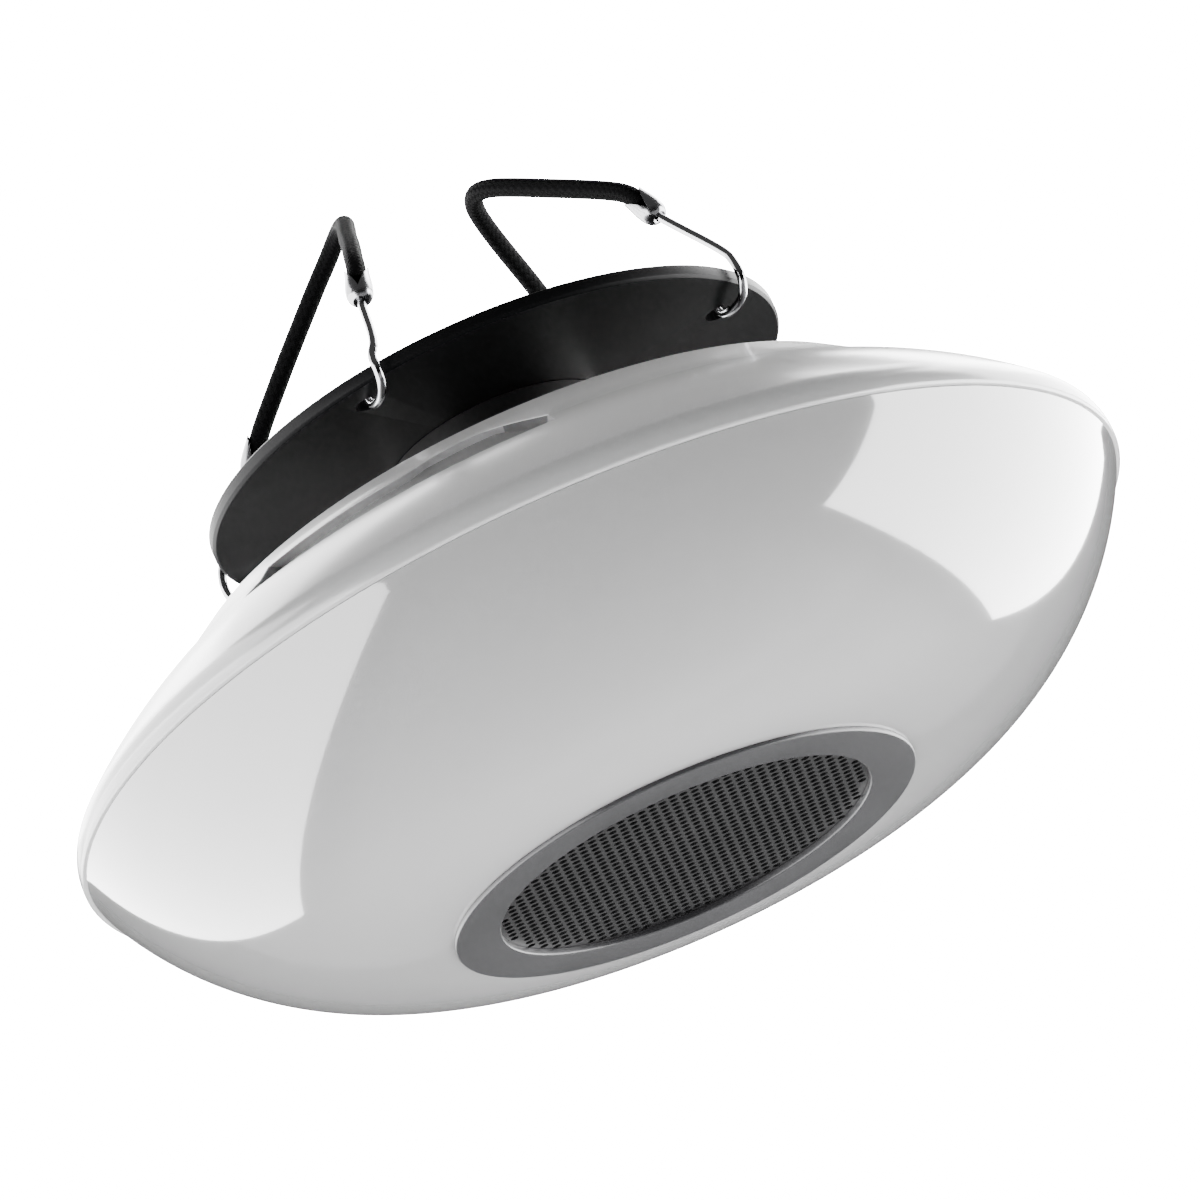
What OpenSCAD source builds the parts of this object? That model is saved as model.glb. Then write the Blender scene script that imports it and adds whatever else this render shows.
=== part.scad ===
// Hanging patio umbrella light with a speaker: a saucer-shaped lamp under a round plate,
// which two elastic hook straps hold to the ribs of the umbrella.
// Millimetres, +Z up. The origin is on the lamp's axis, in the flat face of the speaker bezel.
// The front of the lamp faces -Y.

/* [Diffuser dome] */
// Radius of the dome where it meets the upper shell
seam_r = 125; // [118:0.5:130]
// Height of the dome from the bezel's seat to the seam
dome_h = 44.42; // [38:0.01:50]
// Wall of the dome and of the upper shell
wall = 2.4; // [1.8:0.1:3]

/* [Upper shell] */
// How far the upper shell stands out past the dome
lip_overhang = 1.1; // [0.4:0.1:2]
// Radius of the rounding above the lip
lip_round_r = 7.2; // [5:0.1:10]
// Upright height of the lip under that rounding
lip_h = 1.6; // [1:0.1:3]
// Radius of the arc that the shell's slope follows
shell_arc_r = 120; // [115:1:140]
// How far inside the seam that arc has its centre
shell_arc_in = 85.5; // [80:0.5:90]
// How far inside the seam the edge round the collar's flat deck lies
collar_in = 40; // [36:0.5:44]
// Height of that edge above the seam
collar_h = 36.3; // [34:0.1:38]
// Slope of the collar's band, in degrees
band_slope = 37.5; // [34:0.5:42]

/* [Slot at the collar's foot] */
// Height of the slot's floor above the seam
slot_floor_h = 23; // [21:0.1:24]
// Height of the slot
slot_h = 7.5; // [5:0.1:8]
// How far the slot's back wall lies outside the collar's edge
slot_back_out = 3; // [1:0.1:7]
// First end of the slot, in degrees from the front
slot_from = -37.5; // [-60:0.5:-20]
// Last end of the slot, in degrees from the front
slot_to = 7.2; // [0:0.2:30]
// How far the slot's ceiling bulges up in its wide part
slot_bulge_h = 1.5; // [0.5:0.1:1.8]
// Place of that bulge, in degrees from the front
slot_bulge_at = -3.5; // [-10:0.5:0]

/* [Speaker] */
// Radius of the bezel's outer edge
bezel_r = 55.6; // [54:0.1:60]
// Radius of the opening in the bezel
bezel_open_r = 44.6; // [40:0.1:45]
// How far the bezel stands out of the dome
bezel_proud = 1.1; // [0.8:0.1:2]
// Thickness of the bezel's lip in front of the grille
bezel_lip_t = 1.6; // [1.2:0.1:2.4]
// Thickness of the grille's sheet
grille_t = 0.8; // [0.6:0.1:1.2]
// Distance between two grille holes
grille_pitch = 3.2; // [3:0.1:6]
// Radius of a grille hole
grille_hole_r = 1.1; // [0.6:0.05:1.2]
// Radius of the speaker's magnet
magnet_r = 22.5; // [18:0.5:26]
// Radius of the speaker's cone
cone_r = 31; // [28:0.5:32]

/* [Light and electronics] */
// Inner radius of the LED board
led_board_in_r = 57; // [56:0.5:66]
// Outer radius of the LED board
led_board_out_r = 98; // [90:0.5:101]
// LEDs on the inner ring
led_inner_n = 24; // [12:1:30]
// LEDs on the outer ring
led_outer_n = 36; // [18:1:40]
// Thickness of the circuit boards
board_t = 1.6; // [1:0.1:2]
// Radius of a battery cell
cell_r = 9.2; // [7:0.1:9.4]
// Length of a battery cell
cell_l = 65; // [50:1:70]

/* [Buttons and charging socket] */
// Radius of a push button
button_r = 5.5; // [4.5:0.1:6.5]
// How far a button stands out of the deck
button_proud = 1.2; // [1:0.1:2]
// Travel of a button
button_travel = 0.8; // [0.4:0.1:1]
// Width of the socket cover
cover_w = 15; // [13:0.5:18]
// Thickness of the socket cover
cover_t = 1.8; // [1.4:0.1:2.4]

/* [Neck and hanging plate] */
// Radius of the neck
neck_r = 26.5; // [22:0.5:30]
// Gap between the lamp's deck and the plate
plate_gap = 25.8; // [22:0.1:30]
// Radius of the hanging plate
plate_r = 69.5; // [67:0.1:70]
// Thickness of the plate
plate_t = 3.3; // [2.5:0.1:4]
// Size of the bevel round the plate's underside
plate_bevel = 0.65; // [0.3:0.05:1]
// Radius of a hook hole
hook_hole_r = 3.25; // [3:0.05:3.6]
// Radius of the circle that the hook holes lie on
hook_ring_r = 59; // [58:0.1:60]
// Turn of the two straps about the axis, in degrees
strap_turn = 26; // [20:0.5:32]
// Angle between a strap's middle and its holes
hook_half_angle = 41.75; // [40:0.25:45]

/* [Elastic straps] */
// Radius of the hook wire
wire_r = 1; // [0.8:0.05:1.2]
// Radius of the elastic cord
cord_r = 2.2; // [2:0.05:2.4]
// Radius of a crimp sleeve at its widest
crimp_r = 3.2; // [3:0.05:3.6]
// How far the cord goes into its crimp
cord_in = 4; // [3:0.5:5]

/* [Hidden] */
$fn = 64;
eps = 0.01;
fit = 0.1;          // gap round pieces that seat in each other
run = 0.3;          // gap beside pieces that move or flex
deck_step = 0.6;    // the deck's height above the collar's edge

// dome and seam: the side's arc starts level at the bezel and ends at the seam
dome_arc_x = bezel_r - 1;
dome_arc_r = (pow(seam_r - dome_arc_x, 2) + pow(dome_h, 2)) / (2 * dome_h);
dome_arc_z = bezel_proud + dome_arc_r;
seam_z = bezel_proud + dome_h;
dome_floor_z = bezel_proud + wall;
tongue_out_r = seam_r - 2.8;
tongue_t = 2.2;
tongue_top_z = seam_z + 2;
tongue_drop = 6;

// upper shell
lip_gap = 0.3;
lip_z = seam_z + lip_gap;
lip_r = seam_r + lip_overhang;
round_x = lip_r - lip_round_r;
round_z = lip_z + lip_h;
shell_arc_x = seam_r - shell_arc_in;
collar_r = seam_r - collar_in;
shell_arc_z = round_z - sqrt(pow(shell_arc_r - lip_round_r, 2) - pow(round_x - shell_arc_x, 2));
tangent_x = shell_arc_x + (round_x - shell_arc_x) * shell_arc_r / (shell_arc_r - lip_round_r);
collar_z = seam_z + collar_h;
deck_z = collar_z + deck_step;
deck_under_z = deck_z - wall;
band_reach = 18;

// slot
slot_floor_z = seam_z + slot_floor_h;
slot_back_r = collar_r + slot_back_out;
slot_bulge_r = 80;
slot_reach = lip_r - slot_back_r;

// tray with its light and boards
tray_z = tongue_top_z;
tray_t = 2;
tray_top_z = tray_z + tray_t;
tray_hole_r = 12;
boss_ring_r = seam_r - 17;
boss_r = 4;
boss_n = 6;
screw_r = 1.5;
screw_head_r = 2.8;
screw_head_t = 2;
screw_l = 8;
small_screw_r = 1.1;
led_w = 3.5;
led_t = 1;
led_inner_r = led_board_in_r + 11;
led_outer_r = led_board_out_r - 8;

// bezel, grille and speaker
bezel_neck_out_r = bezel_open_r + 4.4;
seat_r = bezel_open_r + 1.7;
bezel_neck_z = dome_floor_z + 5.5;
grille_r = seat_r - fit;
grille_rim_t = 0.8;
grille_top_z = bezel_lip_t + grille_t;
gasket_t = 1;
gasket_top_z = grille_top_z + gasket_t;
flange_t = 2;
flange_top_z = gasket_top_z + flange_t;
frame_in_r = cone_r + 5;
speaker_depth = 20.6;
magnet_z = flange_top_z + speaker_depth;
magnet_t = 8;
yoke_t = 3;
pole_r = 9;
coil_in_r = pole_r + 0.8;
coil_t = 0.5;
cone_edge_z = flange_top_z - 0.2;
cone_neck_z = cone_edge_z + 9;
cone_t = 0.8;
pot_wall = 2.2;
pot_in_r = bezel_neck_out_r + 0.4;
pot_screw_ring_r = pot_in_r - 6.4;

// battery, boards
cell_gap = 1.2;
cell_pitch = 2 * cell_r + cell_gap;
holder_t = 2;
cell_z = tray_top_z + holder_t + cell_r;
main_board = [60, 36, board_t];
main_board_y = 58;
standoff_h = 5;
button_ring_r = collar_r - 9;
button_half_angle = 8;
button_angles = [90 - button_half_angle, 90 + button_half_angle];
button_flange = 1.2;
button_over = 1.2;
post_r = 2.6;
post_x = button_ring_r * sin(button_half_angle) + button_r + button_over + run + post_r;
switch_h = 3.5;
button_board = [2 * (post_x + post_r), 14, board_t];
button_board_z = deck_under_z - 9.6;
cover_angle = 125;
cover_l = 10;
barrel_r = 1.2;
socket_w = 9;
socket_d = 3.4;
socket_h = 8;
cover_place = [button_ring_r, 0, deck_z];

// neck and plate
neck_wall = 3;
neck_z = deck_z;
plate_z = deck_z + plate_gap;
plate_top_z = plate_z + plate_t;
neck_flange_r = neck_r + 8;
neck_flange_t = 3;
neck_screw_ring_r = neck_r + 4.4;
plate_screw_ring_r = neck_r - neck_wall - 3.6;
plate_screw_n = 4;
boss_wall = 3.6;

// hook places: [angle of the hole, direction of the hook's plane, side that leans inwards,
// stretch of the curl]; the front hooks lie along the rim and need the longer curl
front = -90;
left_mid = 180 + strap_turn;
right_mid = strap_turn;
hooks = [
    [left_mid + hook_half_angle, 288, -1, 1.1],
    [left_mid - hook_half_angle, 166, 1, 1],
    [right_mid - hook_half_angle, 298, 1, 1.115],
    [right_mid + hook_half_angle, 68, -1, 1]
];
// wire of a hook in its own plane: outwards from the hole, and up from the plate's underside
curl = [
    [-0.2, plate_t + 1.7], [0.1, 2.4], [0.6, 0], [2.2, -1.8], [6, -2.95], [10, -3.4],
    [12.5, -2.9], [14.2, -1.1], [14.8, 1.2], [14.5, 4.2]
];
// where the wire bends in, from the hole: outwards, sideways, and up from the plate's underside
kinks = [[13.7, -2.4, 7.4], [13.1, 0, 7.8], [13.2, 0, 7.8], [12.9, 0, 7.8]];
// the crimps' wire end and cord end, in the lamp's frame and up from the plate's underside
crimp_feet = [[-14.8, -56.2, 22.1], [-55, 12.8, 21.8], [53.8, -22.1, 24.5], [25.2, 51, 27.6]];
crimp_tops = [[-12.9, -51.6, 31.4], [-49.8, 12.4, 29.6], [50.2, -19.3, 33.1], [24.2, 43, 35.2]];
// routes of the cords between their crimps, up from the plate's underside
left_route = [
    [-12.5, -47.5, 36], [-12, -40, 41.5], [-12, -30, 48], [-11.5, -20, 54.5], [-11.5, -13, 58.5],
    [-12.5, -7.5, 60.5], [-15, -3, 60], [-18.5, 0, 57.5], [-23, 2, 54],
    [-30, 5, 48], [-37, 8, 42], [-43, 10.5, 36.5]
];
right_route = [
    [46.5, -16.5, 37.5], [41, -12, 42.5], [34, -6.5, 48.5], [27, -1, 54.5], [22, 3, 58.5],
    [18.5, 7, 60.5], [17, 12, 60], [17.5, 17, 57],
    [19, 23, 52.5], [21, 30, 47.5], [23, 37, 42]
];

// ---------- shared shapes ----------

// n copies turned evenly round the axis at radius r
module ring_of(n, r, start = 0) {
    for (i = [0 : n - 1])
        rotate([0, 0, start + i * 360 / n])
            translate([r, 0, 0])
                children();
}

// upright tube from z to z + h
module tube(out_r, in_r, z, h) {
    translate([0, 0, z])
        difference() {
            cylinder(r = out_r, h = h);
            translate([0, 0, -eps]) cylinder(r = in_r, h = h + 2 * eps);
        }
}

// pan-head screw: the head's seat is at z = 0, the shank goes up, the head hangs down
module screw(len, size = 1) {
    head_t = size * screw_head_t;
    cylinder(r = size * screw_r, h = len, $fn = 24);
    translate([0, 0, -head_t])
        cylinder(r1 = size * screw_head_r - 0.5, r2 = size * screw_head_r, h = head_t, $fn = 24);
}

// a route with each corner cut into two
function cut_corners(p) = concat(
    [p[0]],
    [for (i = [0 : len(p) - 2]) each [0.75 * p[i] + 0.25 * p[i + 1], 0.25 * p[i] + 0.75 * p[i + 1]]],
    [p[len(p) - 1]]
);

// upright solid with its foot at a and its axis towards b
module aim(a, b) {
    d = b - a;
    translate(a)
        rotate([0, acos(d[2] / norm(d)), atan2(d[1], d[0])])
            children();
}

function unit(v) = v / norm(v);
function lift(points, z) = [for (p = points) [p[0], p[1], p[2] + z]];

// directions at point i of a route
function heading(p, i) =
    i == 0 ? unit(p[1] - p[0]) :
    i == len(p) - 1 ? unit(p[i] - p[i - 1]) :
    unit(unit(p[i + 1] - p[i]) + unit(p[i] - p[i - 1]));
// side direction carried along the route without twist
function side(p, i) =
    i == 0 ? unit(cross(heading(p, 0), [0, 0, 1])) :
    let (s = side(p, i - 1), h = heading(p, i)) unit(s - h * (s * h));
// one tube swept along a route
module sweep(p, r, sides) {
    n = len(p);
    rings = [
        for (i = [0 : n - 1])
            let (h = heading(p, i), s = side(p, i), t = cross(h, s))
                for (k = [0 : sides - 1])
                    p[i] + r * (cos(360 * k / sides) * s + sin(360 * k / sides) * t)
    ];
    start_cap = [[for (k = [0 : sides - 1]) k]];
    end_cap = [[for (k = [sides - 1 : -1 : 0]) (n - 1) * sides + k]];
    walls = [
        for (i = [0 : n - 2])
            for (k = [0 : sides - 1])
                let (a = i * sides + k, b = i * sides + (k + 1) % sides)
                    each [[a, a + sides, b + sides], [a, b + sides, b]]
    ];
    polyhedron(points = rings, faces = concat(start_cap, walls, end_cap));
}

// ---------- speaker ----------

module speaker_bezel() {
    bevel = 0.5;
    color("dimgray")
        rotate_extrude()
            polygon([
                [bezel_open_r, bevel], [bezel_open_r + bevel, 0], [bezel_r - bevel, 0],
                [bezel_r, bevel], [bezel_r, bezel_proud], [bezel_neck_out_r, bezel_proud],
                [bezel_neck_out_r, bezel_neck_z], [seat_r, bezel_neck_z],
                [seat_r, bezel_lip_t], [bezel_open_r, bezel_lip_t]
            ]);
}

// centres of the grille holes, in rows that are offset by half a pitch
function grille_holes(reach) =
    let (row_h = grille_pitch * sqrt(3) / 2, rows = ceil(reach / row_h))
        [for (j = [-rows : rows])
            for (i = [-rows : rows])
                let (x = (i + (abs(j) % 2) / 2) * grille_pitch, y = j * row_h)
                    if (norm([x, y]) < reach) [x, y]];

module speaker_grille() {
    color("#3a3a3c") {
        translate([0, 0, bezel_lip_t])
            linear_extrude(grille_t)
                difference() {
                    circle(r = grille_r);
                    for (c = grille_holes(bezel_open_r - 1.6))
                        translate(c) circle(r = grille_hole_r, $fn = 16);
                }
        tube(grille_r, grille_r - grille_rim_t, grille_top_z - eps, gasket_t + eps);
    }
}

module grille_gasket() {
    color("black")
        tube(grille_r - grille_rim_t - fit, frame_in_r + 2, grille_top_z, gasket_t);
}

module speaker_frame() {
    neck_r = magnet_r + 3;
    window_r = 5;
    color("#2b2b2b")
        difference() {
            rotate_extrude()
                polygon([
                    [frame_in_r, gasket_top_z], [seat_r - fit, gasket_top_z],
                    [seat_r - fit, flange_top_z], [frame_in_r + 2.6, flange_top_z],
                    [neck_r, magnet_z - 2], [neck_r, magnet_z], [pole_r + 3, magnet_z],
                    [pole_r + 3, magnet_z - 1.5], [neck_r - 1.6, magnet_z - 1.5],
                    [neck_r - 1.6, magnet_z - 2.6], [frame_in_r + 0.6, flange_top_z + 0.6]
                ]);
            ring_of(6, magnet_r)
                translate([0, 0, (flange_top_z + magnet_z) / 2 - 0.6])
                    rotate([0, 90, 0])
                        cylinder(r = window_r, h = frame_in_r);
        }
}

module speaker_surround() {
    mid_r = (cone_r + frame_in_r) / 2;
    roll_r = (frame_in_r - cone_r) / 2 - run;
    skin = 0.8;
    color("black")
        translate([0, 0, flange_top_z])
            rotate_extrude()
                intersection() {
                    difference() {
                        translate([mid_r, 0]) circle(r = roll_r);
                        translate([mid_r, 0]) circle(r = roll_r - skin);
                    }
                    translate([0, -roll_r - 1]) square([frame_in_r + 5, roll_r + 1]);
                }
}

module speaker_cone() {
    cap_r = coil_in_r + coil_t + 1.5;
    color("#1c1c1e")
        rotate_extrude()
            polygon([
                [0, cone_neck_z - 4], [4, cone_neck_z - 3.7], [cap_r, cone_neck_z - 1.9],
                [cap_r + 1, cone_neck_z - 1.6], [cone_r - 2, cone_edge_z - 0.6],
                [cone_r, cone_edge_z - 0.6], [cone_r, cone_edge_z + 0.2],
                [cone_r - 2, cone_edge_z + 0.2], [coil_in_r + coil_t, cone_neck_z],
                [coil_in_r + coil_t, magnet_z + 2.5], [coil_in_r, magnet_z + 2.5],
                [coil_in_r, cone_neck_z - 1.2], [0, cone_neck_z - 3.2]
            ]);
}

module speaker_magnet() {
    color("silver")
        rotate_extrude()
            polygon([
                [0, magnet_z - 6], [pole_r, magnet_z - 6], [pole_r, magnet_z + magnet_t],
                [coil_in_r + coil_t + 0.8, magnet_z + magnet_t], [coil_in_r + coil_t + 0.8, magnet_z],
                [magnet_r, magnet_z], [magnet_r, magnet_z + magnet_t],
                [magnet_r + 0.5, magnet_z + magnet_t], [magnet_r + 0.5, magnet_z + magnet_t + yoke_t],
                [0, magnet_z + magnet_t + yoke_t]
            ]);
}

module speaker_pot() {
    out_r = pot_in_r + pot_wall;
    shelf_z = bezel_neck_z + 2;
    foot_r = out_r + 2.6;
    difference() {
        color("white")
            rotate_extrude()
                polygon([
                    [pot_in_r, dome_floor_z], [foot_r, dome_floor_z], [foot_r, dome_floor_z + 2.5],
                    [out_r, dome_floor_z + 2.5], [out_r, tray_z], [0, tray_z],
                    [0, tray_z - pot_wall], [pot_in_r, tray_z - pot_wall], [pot_in_r, shelf_z],
                    [seat_r - 2.3, shelf_z], [seat_r - 2.3, flange_top_z], [seat_r - fit, flange_top_z],
                    [seat_r - fit, bezel_neck_z], [pot_in_r, bezel_neck_z]
                ]);
        ring_of(3, pot_screw_ring_r) translate([0, 0, tray_z - 2 * pot_wall]) cylinder(r = screw_r + fit, h = 3 * pot_wall, $fn = 24);
    }
}

module pot_screws() {
    color("silver")
        ring_of(3, pot_screw_ring_r)
            translate([0, 0, tray_z - pot_wall])
                screw(pot_wall + tray_t + 2);
}

// ---------- body shells ----------

module diffuser_dome() {
    color("whitesmoke")
        rotate_extrude($fn = 128) {
            difference() {
                intersection() {
                    translate([dome_arc_x, dome_arc_z]) circle(r = dome_arc_r, $fn = 128);
                    translate([dome_arc_x, 0]) square([dome_arc_r + 1, seam_z]);
                }
                translate([dome_arc_x, dome_arc_z]) circle(r = dome_arc_r - wall, $fn = 128);
            }
            translate([bezel_neck_out_r + fit, bezel_proud])
                square([dome_arc_x - bezel_neck_out_r - fit + eps, wall]);
            translate([tongue_out_r - tongue_t, seam_z - tongue_drop + 2])
                square([tongue_t, tongue_top_z - seam_z + tongue_drop - 2]);
            translate([tongue_out_r - eps, seam_z - 1.2])
                square([seam_r - tongue_out_r - 0.6, 1.2]);
        }
}

module seam_gasket() {
    color("#d8d8d8")
        tube(lip_r - wall - fit, tongue_out_r + fit, seam_z, tongue_top_z - seam_z - fit);
}

// half section of the upper shell's outside, drawn in by inset
module upper_area(inset) {
    rise = inset / sin(band_slope);
    foot_x = collar_r + band_reach - rise;
    foot_z = collar_z - band_reach * tan(band_slope);
    top_z = deck_z - inset;
    edge_x = collar_r - rise + (collar_z - top_z + deck_step / 2) / tan(band_slope);
    translate([round_x, round_z]) circle(r = lip_round_r - inset);
    translate([0, lip_z]) square([lip_r - inset, lip_h]);
    intersection() {
        translate([shell_arc_x, shell_arc_z]) circle(r = shell_arc_r - inset, $fn = 128);
        translate([collar_r, lip_z]) square([tangent_x - collar_r, collar_h]);
    }
    polygon([
        [0, lip_z], [foot_x, lip_z], [foot_x, foot_z],
        [edge_x, top_z - deck_step / 2], [edge_x - 1.2, top_z], [0, top_z]
    ]);
}

// full body that ends inside the upper shell's wall
module upper_body() {
    rotate_extrude($fn = 128) upper_area(wall / 2);
}

module slot_sector(from, to, r, z, h, extra) {
    rotate([0, 0, front + from])
        rotate_extrude(angle = to - from, $fn = 128)
            translate([r, z]) square([extra, h]);
}

module slot_cut() {
    slot_sector(slot_from, slot_to, slot_back_r, slot_floor_z, slot_h, slot_reach);
    intersection() {
        slot_sector(slot_from, slot_to, slot_back_r, slot_floor_z, slot_h + slot_bulge_h, slot_reach);
        rotate([0, 0, front + slot_bulge_at])
            translate([0, 0, slot_floor_z + slot_h + slot_bulge_h - slot_bulge_r])
                rotate([0, 90, 0])
                    cylinder(r = slot_bulge_r, h = lip_r, $fn = 128);
    }
}

module slot_liner() {
    margin = 1.6;
    intersection() {
        slot_sector(slot_from - margin, slot_to + margin, slot_back_r - wall,
            slot_floor_z - wall, slot_h + 2 * wall, slot_reach + wall);
        upper_body();
    }
}

module upper_shell() {
    color("white")
        difference() {
            union() {
                rotate_extrude($fn = 128)
                    difference() {
                        upper_area(0);
                        translate([0, -eps]) upper_area(wall);
                        translate([0, lip_z - 1]) square([lip_r - wall, 1.1]);
                        translate([round_x - lip_round_r, lip_z - 30]) square([4 * lip_round_r, 30]);
                    }
                slot_liner();
                intersection() {
                    ring_of(boss_n, boss_ring_r, 30)
                        translate([0, 0, tray_top_z]) cylinder(r = boss_r, h = collar_h);
                    upper_body();
                }
                neck_bosses(deck_under_z - 5, deck_z - wall / 2, 3.6);
                translate([0, 0, button_board_z + board_t])
                    button_posts(deck_under_z - button_board_z - board_t + wall / 2, post_r);
            }
            slot_cut();
            ring_of(boss_n, boss_ring_r, 30)
                translate([0, 0, tray_top_z - 1]) cylinder(r = screw_r, h = screw_l - tray_t + 1, $fn = 24);
            neck_bosses(deck_under_z - 6, deck_z + 1, screw_r);
            translate([0, 0, button_board_z])
                button_posts(board_t + 5, small_screw_r);
            cylinder(r = 7, h = deck_z + 1);
            for (a = button_angles)
                rotate([0, 0, a])
                    translate([button_ring_r, 0, deck_under_z - 5]) cylinder(r = button_r + run, h = 10);
            rotate([0, 0, cover_angle])
                translate([cover_place[0] - socket_d / 2 - fit, -socket_w / 2 - fit, deck_under_z - 1])
                    cube([socket_d + 2 * fit, socket_w + 2 * fit, wall + 2]);
        }
}

module neck_bosses(from, to, r) {
    ring_of(4, neck_screw_ring_r, 45)
        translate([0, 0, from]) cylinder(r = r, h = to - from, $fn = 32);
}

module button_posts(h, r) {
    rotate([0, 0, 90])
        for (side = [-1, 1])
            translate([button_ring_r, side * post_x, 0])
                cylinder(r = r, h = h, $fn = 32);
}

// ---------- tray, light and electronics ----------

module reflector_tray() {
    color("white")
        difference() {
            union() {
                tube(tongue_out_r - fit, tray_hole_r, tray_z, tray_t);
                board_corners() translate([0, 0, tray_z]) cylinder(r = 3, h = tray_t + standoff_h, $fn = 32);
            }
            board_corners()
                translate([0, 0, tray_top_z]) cylinder(r = small_screw_r, h = standoff_h + 1, $fn = 24);
            ring_of(boss_n, boss_ring_r, 30)
                translate([0, 0, tray_z - 1]) cylinder(r = screw_r + fit, h = tray_t + 2, $fn = 24);
            ring_of(3, pot_screw_ring_r)
                translate([0, 0, tray_z - 1]) cylinder(r = screw_r, h = tray_t + 2, $fn = 24);
        }
}

module tray_screws() {
    color("silver")
        ring_of(boss_n, boss_ring_r, 30)
            translate([0, 0, tray_z]) screw(screw_l);
}

module led_board() {
    color("white")
        tube(led_board_out_r, led_board_in_r, tray_z - board_t, board_t);
}

module led_chips() {
    color("lightyellow")
        for (ring = [[led_inner_n, led_inner_r], [led_outer_n, led_outer_r]])
            ring_of(ring[0], ring[1])
                translate([-led_w / 2, -led_w / 2, tray_z - board_t - led_t])
                    cube([led_w, led_w, led_t]);
}

module battery_holder() {
    len = cell_l + 2 * holder_t + 1;
    width = 3 * cell_pitch + 2 * holder_t;
    color("black")
        translate([-len / 2, -width / 2, tray_top_z])
            difference() {
                cube([len, width, holder_t + 1.4 * cell_r]);
                translate([holder_t, holder_t, holder_t])
                    cube([len - 2 * holder_t, width - 2 * holder_t, 2 * cell_r]);
            }
}

module battery_cells() {
    color("steelblue")
        for (i = [-1 : 1])
            translate([-cell_l / 2, i * cell_pitch, cell_z])
                rotate([0, 90, 0]) {
                    cylinder(r = cell_r, h = cell_l - 1);
                    cylinder(r = 2.8, h = cell_l, $fn = 32);
                }
}

module board_corners() {
    for (x = [-1, 1], y = [-1, 1])
        translate([x * (main_board[0] / 2 - 4), main_board_y + y * (main_board[1] / 2 - 4), 0])
            children();
}

module control_board() {
    color("darkgreen")
        difference() {
            translate([-main_board[0] / 2, main_board_y - main_board[1] / 2, tray_top_z + standoff_h])
                cube(main_board);
            board_corners()
                translate([0, 0, tray_top_z + standoff_h - 1])
                    cylinder(r = small_screw_r + 0.05, h = board_t + 2, $fn = 24);
        }
}

module board_screws() {
    color("silver") {
        board_corners()
            translate([0, 0, tray_top_z + standoff_h + board_t])
                mirror([0, 0, 1]) screw(board_t + 4, small_screw_r / screw_r);
        rotate([0, 0, 90])
            for (side = [-1, 1])
                translate([button_ring_r, side * post_x, button_board_z])
                    screw(board_t + 4, small_screw_r / screw_r);
    }
}

module board_parts() {
    top = tray_top_z + standoff_h + board_t;
    color("#303030") {
        translate([-22, main_board_y - 8, top]) cube([16, 12, 2.4]);
        translate([2, main_board_y - 6, top]) cube([10, 10, 1.2]);
        for (x = [12, 20])
            translate([x, main_board_y + 10, top]) cylinder(r = 3.2, h = 8, $fn = 32);
        translate([-14, main_board_y + 11, top]) cube([20, 5, 5]);
    }
}

module button_board() {
    color("darkgreen")
        rotate([0, 0, 90])
            difference() {
                translate([button_ring_r - button_board[1] / 2, -button_board[0] / 2, button_board_z])
                    cube([button_board[1], button_board[0], board_t]);
                for (side = [-1, 1])
                    translate([button_ring_r, side * post_x, button_board_z - 1])
                        cylinder(r = small_screw_r + 0.05, h = board_t + 2, $fn = 24);
            }
}

module tact_switches() {
    color("#202020")
        for (a = button_angles)
            rotate([0, 0, a])
                translate([button_ring_r, 0, button_board_z + board_t]) {
                    translate([-3, -3, 0]) cube([6, 6, switch_h]);
                    cylinder(r = 1.7, h = switch_h + 1, $fn = 32);
                }
}

module push_button(angle) {
    flange_z = deck_under_z - run - button_flange;
    stem_z = button_board_z + board_t + switch_h + 1 + button_travel + 0.1;
    rotate([0, 0, angle])
        translate([button_ring_r, 0, 0]) {
            translate([0, 0, flange_z])
                cylinder(r = button_r, h = deck_z + button_proud - 0.5 - flange_z);
            translate([0, 0, deck_z + button_proud - 0.5])
                cylinder(r1 = button_r, r2 = button_r - 0.5, h = 0.5);
            translate([0, 0, flange_z]) cylinder(r = button_r + button_over, h = button_flange);
            translate([0, 0, stem_z]) cylinder(r = 1.6, h = flange_z - stem_z, $fn = 32);
        }
}

module power_button() {
    color("#c8c8c8") push_button(button_angles[0]);
}

module light_button() {
    color("#c8c8c8") push_button(button_angles[1]);
}

module charge_socket() {
    shell_t = 0.5;
    color("silver")
        rotate([0, 0, cover_angle])
            translate([cover_place[0] - socket_d / 2, -socket_w / 2, deck_z - 0.2 - socket_h])
                difference() {
                    cube([socket_d, socket_w, socket_h]);
                    translate([shell_t, shell_t, 1])
                        cube([socket_d - 2 * shell_t, socket_w - 2 * shell_t, socket_h]);
                }
}

module socket_cover() {
    plug_gap = 0.9;
    plug_h = 1;
    color("#e4e4e4")
        rotate([0, 0, cover_angle])
            translate(cover_place) {
                translate([-cover_l / 2, -cover_w / 2, eps])
                    cube([cover_l, cover_w, cover_t]);
                translate([-cover_l / 2, -cover_w / 2, barrel_r + eps])
                    rotate([-90, 0, 0]) cylinder(r = barrel_r, h = cover_w, $fn = 32);
                translate([-socket_d / 2 + plug_gap, -socket_w / 2 + plug_gap, -plug_h])
                    cube([socket_d - 2 * plug_gap, socket_w - 2 * plug_gap, plug_h + 2 * eps]);
            }
}

// ---------- neck and hanging plate ----------

module neck_gasket() {
    color("black")
        tube(neck_r - neck_wall - 0.5, neck_r - neck_wall - 3, neck_z, 1);
}

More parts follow.
